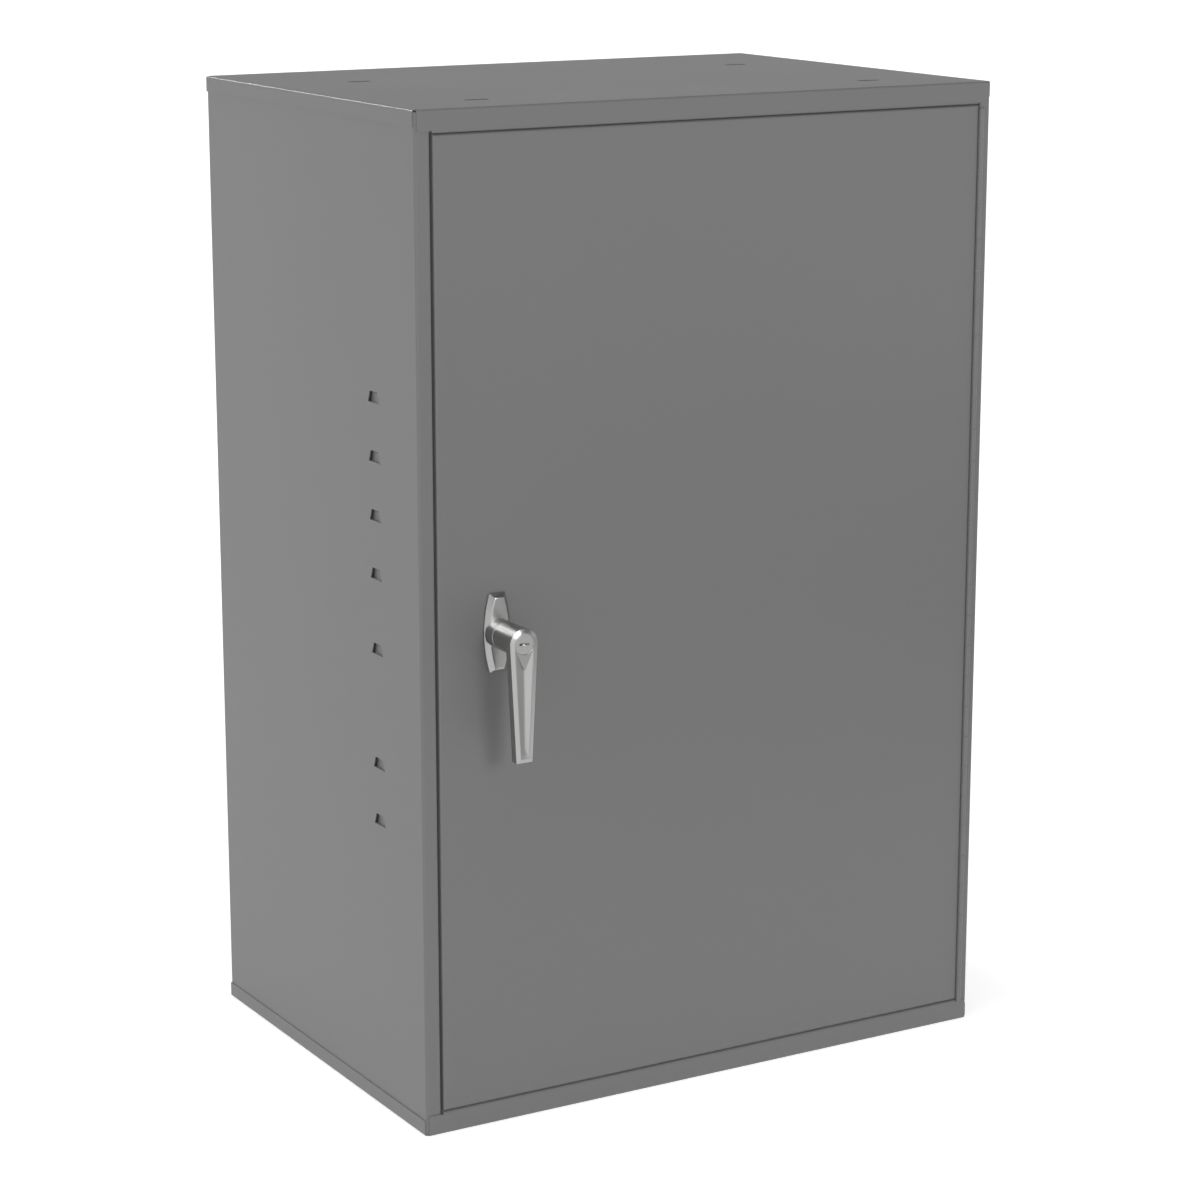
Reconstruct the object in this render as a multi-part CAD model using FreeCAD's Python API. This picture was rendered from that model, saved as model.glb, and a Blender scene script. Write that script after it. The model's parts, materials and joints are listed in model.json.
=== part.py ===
"""Steel storage cabinet of folded sheet: carcass, flush hinged door, locking L-handle, rods and shelves.

Millimetres. +Z is up, the front faces -Y, and the origin is the middle of the base.
"""
import FreeCAD
import Part
import math
import os

Vector = FreeCAD.Vector

# Cabinet
cabinet_width = 505.0
cabinet_depth = 359.0
cabinet_height = 770.0
sheet = 0.9
bend_inside = 0.8

# Top and bottom pans
pan_front_flange = 17.2
pan_side_flange = 12.0
pan_back_flange = 12.0
pan_corner_notch = 2.6
jamb_flange_setback = 1.4
lip_relief_width = 1.4
lip_relief_depth = 2.0
lip_end_gap = 0.4
slot_length = 20.0
slot_width = 7.0
slot_spacing_x = 346.0
slot_spacing_y = 191.0
slot_from_front = 54.0

# Side and back panels
left_jamb_width = 12.4
right_jamb_width = 6.3
stub_height = 3.0
stub_gap = 0.4
rear_flange = 14.0
panel_end_clearance = 0.1
jamb_lip_overrun = 1.0

# Pressed shelf tabs
tab_base = 18.5
tab_top = 12.0
tab_height = 8.4
tab_root = 3.0
tab_reach = 1.6
tab_kerf = 0.2
tab_top_gap = 0.9
tab_from_front = 62.0
tab_pitch = 44.45
upper_group_height = 422.0
upper_group_steps = (0, 1, 2, 3)
lower_group_height = 231.0
lower_group_steps = (0, 1, 3)
rear_tab_spacing = 300.0

# Door
door_depth = 16.0
door_gap_left = 2.2
door_gap_top = 0.8
door_gap_bottom = 0.5
door_bend = 1.7
stiffener_width = 44.0
stiffener_depth = 10.0
stiffener_foot = 12.0
stiffener_end_gap = 40.0

# Continuous hinge
pin_diameter = 2.3
pin_clearance = 0.05
hinge_leaf = 1.0
knuckle_count = 29
knuckle_gap = 0.3
knuckle_end_gap = 0.4
leaf_notch_gap = 0.5
hinge_nest = 0.75
pin_proud = 0.8
fixed_leaf_width = 17.0
door_leaf_width = 14.0

# Door stops
stop_height = 24.0
stop_sheet = 1.2
stop_reach = 13.0
stop_foot = 10.0
stop_from_end = 130.0
bumper_thickness = 1.5
bumper_edge = 2.0

# Handle, with distances out from the door's face
handle_from_side = 62.8
plate_height = 60.0
plate_width = 22.0
plate_end_width = 13.0
plate_thickness = 5.2
plate_wall = 1.6
plate_bevel = 3.0
collar_radius = 11.0
collar_out = 14.0
collar_seam = 0.3
boss_radius = 10.0
boss_depth = 4.0
boss_clearance = 0.3
lever_out = 43.0
lever_thickness = 8.0
lever_length = 90.0
lever_head_radius = 11.4
lever_tip_width = 13.3
lever_bevel_width = 3.0
lever_bevel_depth = 1.2
trough_depth = 1.6
trough_rim = 0.2
trough_point = 20.4
trough_shoulder = 2.5
trough_end = 3.2
trough_end_slope = 8.0

# Key lock in the lever head
plug_head_radius = 7.9
plug_head_depth = 2.5
plug_radius = 6.2
plug_clearance = 0.06
plug_recess = 0.2
lock_length = 20.0
sleeve_radius = 8.8
sleeve_fit = 0.02
keyway_width = 8.0
keyway_height = 1.5
keyway_depth = 14.0

# Spindle and cam
spindle_head_length = 4.8
shank_radius = 7.0
shank_clearance = 0.08
spindle_square = 8.0
square_clearance = 0.05
thread_radius = 3.0
ring_outer_radius = 9.5
ring_inner_radius = 6.2
ring_thickness = 1.0
ring_gap = 0.3
shank_tail = 1.2
cam_thickness = 3.0
cam_hub_radius = 12.0
cam_arm_radius = 6.0
crank_radius = 16.0
crank_pin_radius = 2.4
crank_pin_head_radius = 4.0
crank_pin_head = 1.2
crank_half_swing = 45.0
tongue_width = 14.0
tongue_side_gap = 3.5
tongue_corner = 3.5
washer_radius = 7.5
washer_thickness = 1.2
nut_sides = 6
nut_across_flats = 10.0
nut_height = 5.0
thread_tail = 1.8

# Escutcheon screws
screw_spacing = 40.0
screw_radius = 2.1
screw_depth = 3.8
screw_head_radius = 4.2
screw_head_height = 2.4
screw_slot_width = 1.0
screw_slot_depth = 1.1
screw_hole_clearance = 0.3

# Lock rods and their guides
rod_width = 12.0
rod_thickness = 3.0
rod_clearance = 0.6
rod_engagement = 10.0
rod_head_height = 15.0
rod_head_wall = 2.4
yoke_side_clearance = 0.4
yoke_clearance = 0.7
cam_gap = 0.4
latch_gap = 0.8
guide_width = 26.0
guide_sheet = 1.5
guide_foot = 18.0
guide_overhang = 4.0
guide_clearance = 0.4
guide_from_end = 34.0
guide_from_handle = 80.0

# Shelves
shelf_side_gap = 1.2
shelf_rear_gap = 1.0
shelf_front_setback = 40.0
shelf_front_flange = 25.0
shelf_flange = 12.0
shelf_notch_gap = 3.0
upper_shelf_step = 3
lower_shelf_step = 1

# Planes and faces that the pieces share
bend_outside = bend_inside + sheet
panel_end_gap = bend_outside + panel_end_clearance
front_y = -cabinet_depth / 2
back_y = cabinet_depth / 2
jamb_y = front_y + sheet
back_panel_y = back_y - 2 * sheet
side_x = cabinet_width / 2 - sheet
inner_x = side_x - sheet
door_y = jamb_y
door_inner_y = door_y + sheet
door_rim_y = door_y + door_depth
door_bottom = pan_front_flange + door_gap_bottom
door_top = cabinet_height - pan_front_flange - door_gap_top

left_jamb_x = -side_x + left_jamb_width
right_jamb_x = side_x - right_jamb_width
knuckle_radius = pin_diameter / 2 + pin_clearance + hinge_leaf
pin_x = right_jamb_x - knuckle_radius
pin_y = door_y - pin_proud
door_left = left_jamb_x + door_gap_left
door_right = pin_x - knuckle_radius + hinge_nest
stub_left = door_right + stub_gap
stub_bottom = cabinet_height - pan_front_flange - stub_height
jamb_flange = pan_front_flange - jamb_flange_setback
hinge_bottom = jamb_flange + knuckle_end_gap
hinge_top = stub_bottom - knuckle_gap

handle_x = -side_x + handle_from_side
handle_z = cabinet_height / 2
rod_front_y = door_rim_y + rod_clearance
rod_back_y = rod_front_y + rod_thickness
cam_front_y = rod_back_y + cam_gap
cam_back_y = cam_front_y + cam_thickness
pan_lip_y = rod_front_y - latch_gap
jamb_lip_y = cam_front_y - latch_gap
lip_left = left_jamb_x + lip_relief_width
lip_right = pin_x - knuckle_radius - lip_end_gap

swing = math.radians(crank_half_swing)
crank_offset = crank_radius * math.cos(swing)
crank_lift = crank_radius * math.sin(swing)
yoke_middle = (crank_radius + crank_offset) / 2
yoke_half_length = (crank_radius - crank_offset) / 2 + crank_pin_radius + yoke_side_clearance
yoke_half_height = crank_pin_radius + yoke_clearance

tab_heights = [upper_group_height + tab_pitch * step for step in upper_group_steps]
tab_heights += [lower_group_height + tab_pitch * step for step in lower_group_steps]
tab_y = front_y + tab_from_front
shelf_front_y = front_y + shelf_front_setback
shelf_back_y = back_panel_y - sheet - shelf_rear_gap
shelf_half_width = inner_x - shelf_side_gap

# How far a cutter reaches past the faces it cuts, and the smallest length that counts
through = 2.0
tolerance = 1e-3

PLANES = {
    "xy": lambda u, v, level: Vector(u, v, level),
    "xz": lambda u, v, level: Vector(u, level, v),
    "yz": lambda u, v, level: Vector(level, u, v),
}


def out(distance):
    """The Y of a point that far out from the door's face."""
    return door_y - distance


def rounded_wire(corners, plane, level):
    """A closed wire through (u, v) or (u, v, radius) corners, with arcs at those that have a radius."""
    place = PLANES[plane]
    count = len(corners)
    arrivals, middles, departures = [], [], []
    for index, corner in enumerate(corners):
        point = Vector(corner[0], corner[1], 0)
        radius = corner[2] if len(corner) > 2 else 0
        before = Vector(*corners[index - 1][:2], 0) - point
        after = Vector(*corners[(index + 1) % count][:2], 0) - point
        before.normalize()
        after.normalize()
        half = before.getAngle(after) / 2
        reach = radius / math.tan(half)
        bisector = before + after
        if radius > 0:
            bisector.normalize()
        arrivals.append(point + before * reach)
        middles.append(point + bisector * (radius / math.sin(half) - radius) if radius > 0 else None)
        departures.append(point + after * reach)
    edges = []
    for index in range(count):
        start, end = departures[index - 1], arrivals[index]
        if (end - start).Length > tolerance:
            edges.append(Part.LineSegment(place(start.x, start.y, level), place(end.x, end.y, level)).toShape())
        if middles[index] is not None:
            points = (arrivals[index], middles[index], departures[index])
            edges.append(Part.Arc(*(place(p.x, p.y, level) for p in points)).toShape())
    return Part.Wire(edges)


def slab(corners, plane, start, end):
    """A solid with that outline on a plane, from start to end along the third axis."""
    direction = PLANES[plane](0, 0, end - start)
    return Part.Face(rounded_wire(corners, plane, start)).extrude(direction)


def folded_sheet(outer, plane, start, end):
    """Bent sheet: its outer face follows the points, every bend is a right angle to the left,
    and the sheet lies on the left."""
    points = [Vector(u, v, 0) for u, v in outer]
    normals = []
    for first, second in zip(points, points[1:]):
        run = second - first
        run.normalize()
        normals.append(Vector(-run.y, run.x, 0))
    last = len(points) - 1
    corners = [(p.x, p.y, bend_outside if 0 < i < last else 0) for i, p in enumerate(points)]
    for i in range(last, -1, -1):
        before, after = normals[max(i - 1, 0)], normals[min(i, last - 1)]
        p = points[i] + (before + after if 0 < i < last else before) * sheet
        corners.append((p.x, p.y, bend_inside if 0 < i < last else 0))
    return slab(corners, plane, start, end)


def box(x0, x1, y0, y1, z0, z1):
    return Part.makeBox(x1 - x0, y1 - y0, z1 - z0, Vector(x0, y0, z0))


def rod_y(x, z, radius, y0, y1):
    """A round bar along Y."""
    return Part.makeCylinder(radius, y1 - y0, Vector(x, y0, z), Vector(0, 1, 0))


def rod_z(x, y, radius, z0, z1):
    """A round bar along Z."""
    return Part.makeCylinder(radius, z1 - z0, Vector(x, y, z0))


def stadium(x, z, half_length, half_height, y0, y1):
    """A bar along Y with a round-ended slot's outline, its length along X."""
    straight = half_length - half_height
    ends = [rod_y(x + side * straight, z, half_height, y0, y1) for side in (-1, 1)]
    return box(x - straight, x + straight, y0, y1, z - half_height, z + half_height).fuse(ends)


def slot_z(x, y, z0, z1):
    """A bar along Z with the outline of a bolt slot, its length along X."""
    straight = (slot_length - slot_width) / 2
    ends = [rod_z(x + side * straight, y, slot_width / 2, z0, z1) for side in (-1, 1)]
    return box(x - straight, x + straight, y - slot_width / 2, y + slot_width / 2, z0, z1).fuse(ends)


def save(node, shape):
    """Writes one sub-part, after its faces are merged, and prints what it holds."""
    shape = shape.removeSplitter()
    if not shape.isValid():
        raise ValueError(node + " is not a valid solid")
    shape.exportStep("parts/" + node + ".step")
    print(node, len(shape.Solids), "solids", round(shape.Volume / 1000, 2), "cm3")


def shelf_tab():
    """A pressed tab and its window on a sheet whose outer face is x = 0. The tab starts behind the window's
    front edge and leans in, back along +Y; its rear and top are open, and a drawn floor holds it below."""
    slant = (tab_base - tab_top) / 2
    low, high = -tab_height / 2, tab_height / 2
    window = slab(
        [(0, low), (tab_base, low), (tab_base - slant, high), (slant, high)], "yz", -through, sheet + through)
    tab = slab(
        [(-tab_root, low - sheet), (-tab_root, low), (slant - tab_root, high - tab_top_gap),
         (tab_base - slant - tab_kerf, high - tab_top_gap), (tab_base - tab_kerf, low),
         (tab_base - tab_kerf, low - sheet)], "yz", sheet, 2 * sheet)
    turn = math.asin(tab_reach / tab_base)
    tab.rotate(Vector(sheet, 0, low), Vector(0, slant, tab_height), -math.degrees(turn))
    floor_end = tab.BoundBox.YMax
    floor = slab(
        [(0, -tab_root), (0, floor_end), (sheet + floor_end * math.tan(turn), floor_end), (sheet, -tab_root)],
        "xy", low - sheet, low)
    return window, tab.fuse(floor)


def with_tabs(panel, places):
    """Cuts a window and folds a tab into the panel at each place, given as a function that moves a shape."""
    window, tab = shelf_tab()
    return panel.cut([place(window) for place in places]).fuse([place(tab) for place in places])


def left_side_panel():
    panel = folded_sheet(
        [(-side_x + rear_flange, back_panel_y), (-side_x, back_panel_y), (-side_x, jamb_y),
         (left_jamb_x, jamb_y), (left_jamb_x, jamb_lip_y)],
        "xy", panel_end_gap, cabinet_height - panel_end_gap)
    places = [lambda shape, z=z: shape.translated(Vector(-side_x, tab_y, z)) for z in tab_heights]
    return with_tabs(panel, places)


def right_side_panel():
    panel = folded_sheet(
        [(right_jamb_x, pin_y + fixed_leaf_width + jamb_lip_overrun), (right_jamb_x, jamb_y), (side_x, jamb_y),
         (side_x, back_panel_y), (side_x - rear_flange, back_panel_y)],
        "xy", panel_end_gap, cabinet_height - panel_end_gap)
    stub = box(stub_left, right_jamb_x + bend_outside, jamb_y, jamb_y + sheet,
               stub_bottom, cabinet_height - panel_end_gap)
    places = [
        lambda shape, z=z: shape.translated(Vector(-side_x, tab_y, z)).mirror(Vector(), Vector(1, 0, 0))
        for z in tab_heights]
    return with_tabs(panel.fuse(stub), places)


def back_panel():
    half = side_x - bend_outside
    outer_y = back_panel_y + sheet
    panel = box(-half, half, back_panel_y, outer_y, panel_end_gap, cabinet_height - panel_end_gap)
    columns = [side * rear_tab_spacing / 2 - tab_base / 2 for side in (-1, 1)]
    places = [
        lambda shape, x=x, z=z: shape.rotated(Vector(), Vector(0, 0, 1), -90).translated(Vector(x, outer_y, z))
        for x in columns for z in tab_heights]
    return with_tabs(panel, places)


def bottom_pan():
    """The pan with its flanges turned up; the top pan is the same pressing turned over."""
    half_width = cabinet_width / 2
    notch_x = half_width - pan_corner_notch
    across = folded_sheet(
        [(-half_width, pan_side_flange), (-half_width, 0), (half_width, 0), (half_width, pan_side_flange)],
        "xz", front_y + pan_corner_notch, back_y - pan_corner_notch)
    along = folded_sheet(
        [(front_y, jamb_flange), (front_y, 0), (back_y, 0), (back_y, pan_back_flange)], "yz", -notch_x, notch_x)
    lipped = folded_sheet(
        [(pan_lip_y, pan_front_flange), (front_y, pan_front_flange), (front_y, 0), (0, 0)],
        "yz", lip_left, lip_right)
    relief = box(left_jamb_x, lip_left, front_y - through, jamb_y + through,
                 pan_front_flange - lip_relief_depth, pan_front_flange + through)
    slot_rows = [front_y + slot_from_front + row * slot_spacing_y for row in (0, 1)]
    slots = [
        slot_z(x, y, -through, sheet + through)
        for x in (-slot_spacing_x / 2, slot_spacing_x / 2) for y in slot_rows]
    return across.fuse([along, lipped]).cut([relief] + slots)


def top_pan():
    return bottom_pan().mirror(Vector(0, 0, cabinet_height / 2), Vector(0, 0, 1))


def knuckle_spans(first):
    """The heights of every second knuckle, from the first one given."""
    pitch = (hinge_top - hinge_bottom) / knuckle_count
    return [
        (hinge_bottom + pitch * i + knuckle_gap / 2, hinge_bottom + pitch * (i + 1) - knuckle_gap / 2)
        for i in range(first, knuckle_count, 2)]


def hinge_leaf_solid(plate_x, width, bottom, own, other):
    """A flat leaf with rolled knuckles at its own spans, cut back where the other leaf has its knuckles."""
    plate = box(plate_x, plate_x + hinge_leaf, pin_y, pin_y + width, bottom, hinge_top)
    clear = knuckle_radius + leaf_notch_gap
    notches = [
        box(plate_x - through, plate_x + hinge_leaf + through, pin_y - through, pin_y + clear,
            low - knuckle_gap, high + knuckle_gap) for low, high in other]
    barrels = [rod_z(pin_x, pin_y, knuckle_radius, low, high) for low, high in own]
    bore = rod_z(pin_x, pin_y, knuckle_radius - hinge_leaf, hinge_bottom - through, hinge_top + through)
    return plate.cut(notches).fuse(barrels).cut(bore)


def hinge_fixed_leaf():
    return hinge_leaf_solid(
        right_jamb_x - hinge_leaf, fixed_leaf_width, hinge_bottom, knuckle_spans(0), knuckle_spans(1))


def hinge_door_leaf():
    return hinge_leaf_solid(door_right, door_leaf_width, door_bottom, knuckle_spans(1), knuckle_spans(0))


def hinge_pin():
    return rod_z(pin_x, pin_y, pin_diameter / 2, hinge_bottom, hinge_top)


def stop_levels():
    return (stop_from_end, cabinet_height - stop_from_end)


def door_stops():
    bumper_back = door_rim_y + bumper_thickness
    back = bumper_back + stop_sheet
    clips = []
    for z in stop_levels():
        low, high = z - stop_height / 2, z + stop_height / 2
        foot = box(left_jamb_x, left_jamb_x + stop_sheet, back - stop_foot, back, low, high)
        face = box(left_jamb_x, left_jamb_x + stop_reach, bumper_back, back, low, high)
        clips.append(foot.fuse(face))
    return Part.makeCompound(clips)


def door_bumpers():
    left = left_jamb_x + stop_sheet + bumper_edge
    right = left_jamb_x + stop_reach
    return Part.makeCompound([
        box(left, right, door_rim_y, door_rim_y + bumper_thickness,
            z - stop_height / 2 + bumper_edge, z + stop_height / 2 - bumper_edge) for z in stop_levels()])


def door_shell(inset, front, back):
    """A block with the door's outline drawn in by the inset, its front edges rounded and mitred."""
    block = box(door_left + inset, door_right - inset, front, back, door_bottom + inset, door_top - inset)
    rim = [edge for edge in block.Edges if edge.BoundBox.YMax < front + tolerance]
    return block.makeFillet(door_bend - inset, rim)


def door_panel():
    skin = door_shell(0, door_y, door_rim_y).cut(door_shell(sheet, door_inner_y, door_rim_y + through))
    holes = [rod_y(handle_x, handle_z, boss_radius + boss_clearance, out(through), door_inner_y + through)]
    holes += [
        rod_y(handle_x, handle_z + side * screw_spacing / 2, screw_radius + screw_hole_clearance,
              out(through), door_inner_y + through) for side in (-1, 1)]
    return skin.cut(holes)


def door_stiffener():
    """A hat section: two feet on the door's skin and a channel that stands off it."""
    middle = (door_left + door_right) / 2
    half = stiffener_width / 2
    top_y = door_inner_y + stiffener_depth
    foot_y = door_inner_y + sheet
    low, high = door_bottom + stiffener_end_gap, door_top - stiffener_end_gap
    outline = [
        (-half - stiffener_foot, door_inner_y), (-half + sheet, door_inner_y, bend_inside),
        (-half + sheet, top_y - sheet, bend_inside), (half - sheet, top_y - sheet, bend_inside),
        (half - sheet, door_inner_y, bend_inside), (half + stiffener_foot, door_inner_y),
        (half + stiffener_foot, foot_y), (half, foot_y), (half, top_y, bend_outside),
        (-half, top_y, bend_outside), (-half, foot_y), (-half - stiffener_foot, foot_y)]
    return slab([(middle + corner[0], *corner[1:]) for corner in outline], "xy", low, high)


def plate_outline(inset, y):
    """The escutcheon's outline: straight ends and bowed sides."""
    half_end = plate_end_width / 2 - inset
    half_middle = plate_width / 2 - inset
    half_height = plate_height / 2 - inset
    place = lambda x, z: Vector(handle_x + x, y, handle_z + z)
    return Part.Wire([
        Part.LineSegment(place(-half_end, half_height), place(half_end, half_height)).toShape(),
        Part.Arc(place(half_end, half_height), place(half_middle, 0), place(half_end, -half_height)).toShape(),
        Part.LineSegment(place(half_end, -half_height), place(-half_end, -half_height)).toShape(),
        Part.Arc(place(-half_end, -half_height), place(-half_middle, 0), place(-half_end, half_height)).toShape()])


def handle_escutcheon():
    wall = Part.Face(plate_outline(0, door_y)).extrude(Vector(0, -plate_wall, 0))
    bevel = Part.makeLoft(
        [plate_outline(0, out(plate_wall)), plate_outline(plate_bevel, out(plate_thickness))], True, True)
    collar = rod_y(handle_x, handle_z, collar_radius, out(collar_out), out(plate_thickness / 2))
    boss = rod_y(handle_x, handle_z, boss_radius, out(plate_thickness / 2), out(-boss_depth))
    bore = rod_y(handle_x, handle_z, shank_radius + shank_clearance, out(collar_out + through),
                 out(-boss_depth - through))
    threads = [
        rod_y(handle_x, handle_z + side * screw_spacing / 2, screw_radius, out(screw_depth), out(-through))
        for side in (-1, 1)]
    return wall.fuse([bevel, collar, boss]).cut([bore] + threads)


def escutcheon_screws():
    screws = []
    for side in (-1, 1):
        z = handle_z + side * screw_spacing / 2
        head_back = door_inner_y + screw_head_height
        shank = rod_y(handle_x, z, screw_radius, out(screw_depth), door_inner_y)
        head = rod_y(handle_x, z, screw_head_radius, door_inner_y, head_back)
        slot = box(handle_x - screw_head_radius, handle_x + screw_head_radius, head_back - screw_slot_depth,
                   head_back + through, z - screw_slot_width / 2, z + screw_slot_width / 2)
        screws.append(shank.fuse(head).cut(slot))
    return Part.makeCompound(screws)


def lever_half_width(drop):
    """Half the arm's width at a distance below the axis."""
    return lever_head_radius + (lever_tip_width / 2 - lever_head_radius) * drop / lever_length


def lever_outline(inset, y):
    """A round head with straight sides that touch it and run to the narrower tip, drawn in by the inset."""
    tip = math.hypot(lever_tip_width / 2, lever_length)
    lean = math.acos(lever_head_radius / tip) - math.atan2(lever_length, lever_tip_width / 2)
    radius = lever_head_radius - inset
    tip_z = inset - lever_length
    tip_x = (radius - tip_z * math.sin(lean)) / math.cos(lean)
    touch_x, touch_z = radius * math.cos(lean), radius * math.sin(lean)
    place = lambda x, z: Vector(handle_x + x, y, handle_z + z)
    return Part.Wire([
        Part.Arc(place(touch_x, touch_z), place(0, radius), place(-touch_x, touch_z)).toShape(),
        Part.LineSegment(place(-touch_x, touch_z), place(-tip_x, tip_z)).toShape(),
        Part.LineSegment(place(-tip_x, tip_z), place(tip_x, tip_z)).toShape(),
        Part.LineSegment(place(tip_x, tip_z), place(touch_x, touch_z)).toShape()])


def trough_section(drop):
    """A V across the arm, deepest on its middle line, that also reaches out in front of its face."""
    half = lever_half_width(drop) - lever_bevel_width - trough_rim
    spread = half * (1 + through / trough_depth)
    front = out(lever_out)
    z = handle_z - drop
    return Part.makePolygon([
        Vector(handle_x - spread, front - through, z), Vector(handle_x + spread, front - through, z),
        Vector(handle_x, front + trough_depth, z), Vector(handle_x - spread, front - through, z)])


def lever_trough():
    """The shallow V down the arm: a pointed shield of flat face above it, and a sloped end at the tip."""
    front = out(lever_out)
    bottom = lever_length - trough_end
    valley = Part.makeLoft([trough_section(0), trough_section(bottom)], True, True)
    reach = lever_head_radius
    profile = slab(
        [(front - through, handle_z), (front - through, handle_z - bottom), (front, handle_z - bottom),
         (front + trough_depth, handle_z - bottom + trough_end_slope), (front + trough_depth, handle_z)],
        "yz", handle_x - reach, handle_x + reach)
    shoulder_half = lever_half_width(trough_shoulder) - lever_bevel_width - trough_rim
    steep = (trough_point - trough_shoulder) / shoulder_half
    shield = slab(
        [(handle_x - reach, handle_z - trough_point + steep * reach), (handle_x, handle_z - trough_point),
         (handle_x + reach, handle_z - trough_point + steep * reach),
         (handle_x + reach, handle_z + reach + steep * reach), (handle_x - reach, handle_z + reach + steep * reach)],
        "xz", front - 2 * through, front + 2 * through)
    return valley.common(profile).cut(shield)


def handle_lever():
    front = out(lever_out)
    bevel_back = front + lever_bevel_depth
    back = out(lever_out - lever_thickness)
    arm = Part.Face(lever_outline(0, bevel_back)).extrude(Vector(0, back - bevel_back, 0))
    bevel = Part.makeLoft([lever_outline(0, bevel_back), lever_outline(lever_bevel_width, front)], True, True)
    neck = rod_y(handle_x, handle_z, collar_radius, back - lever_thickness / 2, out(collar_out + collar_seam))
    bore = rod_y(handle_x, handle_z, sleeve_radius, front + plug_head_depth, out(0))
    face_hole = rod_y(handle_x, handle_z, plug_head_radius + plug_clearance, front - through, out(0))
    return arm.fuse([bevel, neck]).cut([bore, face_hole, lever_trough()])


def lock_cylinder():
    front = out(lever_out - plug_head_depth)
    back = front + lock_length
    tube = rod_y(handle_x, handle_z, sleeve_radius - sleeve_fit, front, back)
    return tube.cut(rod_y(handle_x, handle_z, plug_radius + plug_clearance, front - through, back + through))


def lock_plug():
    front = out(lever_out - plug_recess)
    shoulder = out(lever_out - plug_head_depth + plug_clearance)
    head = rod_y(handle_x, handle_z, plug_head_radius, front, shoulder)
    body = rod_y(handle_x, handle_z, plug_radius, front, shoulder + lock_length)
    keyway = box(handle_x - keyway_width / 2, handle_x + keyway_width / 2, front - through,
                 front + keyway_depth, handle_z - keyway_height / 2, handle_z + keyway_height / 2)
    return head.fuse(body).cut(keyway)


def square_bar(half, y0, y1):
    return box(handle_x - half, handle_x + half, y0, y1, handle_z - half, handle_z + half)


def spindle_ends():
    """The Y of the ring's front, the shank's back end and the thread's back end."""
    ring_front = out(-boss_depth - ring_gap)
    shank_back = ring_front + ring_thickness + shank_tail
    thread_back = cam_back_y + washer_thickness + nut_height + thread_tail
    return ring_front, shank_back, thread_back


def handle_spindle():
    ring_front, shank_back, thread_back = spindle_ends()
    head_back = out(collar_out + collar_seam)
    head = rod_y(handle_x, handle_z, sleeve_radius - sleeve_fit, head_back - spindle_head_length, head_back)
    shank = rod_y(handle_x, handle_z, shank_radius, head_back - spindle_head_length, shank_back)
    square = square_bar(spindle_square / 2, shank_back - shank_tail, cam_back_y)
    thread = rod_y(handle_x, handle_z, thread_radius, cam_back_y - cam_thickness, thread_back)
    groove = rod_y(handle_x, handle_z, ring_outer_radius, ring_front, ring_front + ring_thickness).cut(
        rod_y(handle_x, handle_z, ring_inner_radius, ring_front, ring_front + ring_thickness))
    return head.fuse([shank, square, thread]).cut(groove)


def spindle_ring():
    front = spindle_ends()[0]
    ring = rod_y(handle_x, handle_z, ring_outer_radius, front, front + ring_thickness)
    return ring.cut(rod_y(handle_x, handle_z, ring_inner_radius, front - through, front + ring_thickness + through))


def crank_places():
    """The two crank pins at rest: the upper rod's on the left, the lower rod's on the right."""
    return [(handle_x - side * crank_offset, handle_z + side * crank_lift) for side in (1, -1)]


def latch_cam():
    hub = rod_y(handle_x, handle_z, cam_hub_radius, cam_front_y, cam_back_y)
    pads = [rod_y(x, z, cam_arm_radius, cam_front_y, cam_back_y) for x, z in crank_places()]
    bar = box(handle_x - crank_radius, handle_x + crank_radius, cam_front_y, cam_back_y,
              handle_z - cam_arm_radius, handle_z + cam_arm_radius)
    bar.rotate(Vector(handle_x, cam_front_y, handle_z), Vector(0, 1, 0), crank_half_swing)
    tip = -inner_x + tongue_side_gap
    tongue = slab(
        [(tip, handle_z - tongue_width / 2, tongue_corner), (handle_x, handle_z - tongue_width / 2),
         (handle_x, handle_z + tongue_width / 2), (tip, handle_z + tongue_width / 2, tongue_corner)],
        "xz", cam_front_y, cam_back_y)
    hole = square_bar(spindle_square / 2 + square_clearance, cam_front_y - through, cam_back_y + through)
    pin_holes = [
        rod_y(x, z, crank_pin_radius, cam_front_y - through, cam_back_y + through) for x, z in crank_places()]
    return hub.fuse(pads + [bar, tongue]).cut([hole] + pin_holes)


def cam_pins():
    head_back = rod_front_y - cam_gap
    pins = []
    for x, z in crank_places():
        head = rod_y(x, z, crank_pin_head_radius, head_back - crank_pin_head, head_back)
        pins.append(rod_y(x, z, crank_pin_radius, head_back, cam_back_y).fuse(head))
    return Part.makeCompound(pins)


def cam_washer():
    ring = rod_y(handle_x, handle_z, washer_radius, cam_back_y, cam_back_y + washer_thickness)
    return ring.cut(rod_y(handle_x, handle_z, thread_radius, cam_back_y - through,
                          cam_back_y + washer_thickness + through))


def cam_nut():
    front = cam_back_y + washer_thickness
    step = 2 * math.pi / nut_sides
    corner = nut_across_flats / 2 / math.cos(step / 2)
    turns = [step * i for i in range(nut_sides)]
    block = slab(
        [(handle_x + corner * math.cos(turn), handle_z + corner * math.sin(turn)) for turn in turns],
        "xz", front, front + nut_height)
    return block.cut(rod_y(handle_x, handle_z, thread_radius, front - through, front + nut_height + through))


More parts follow.
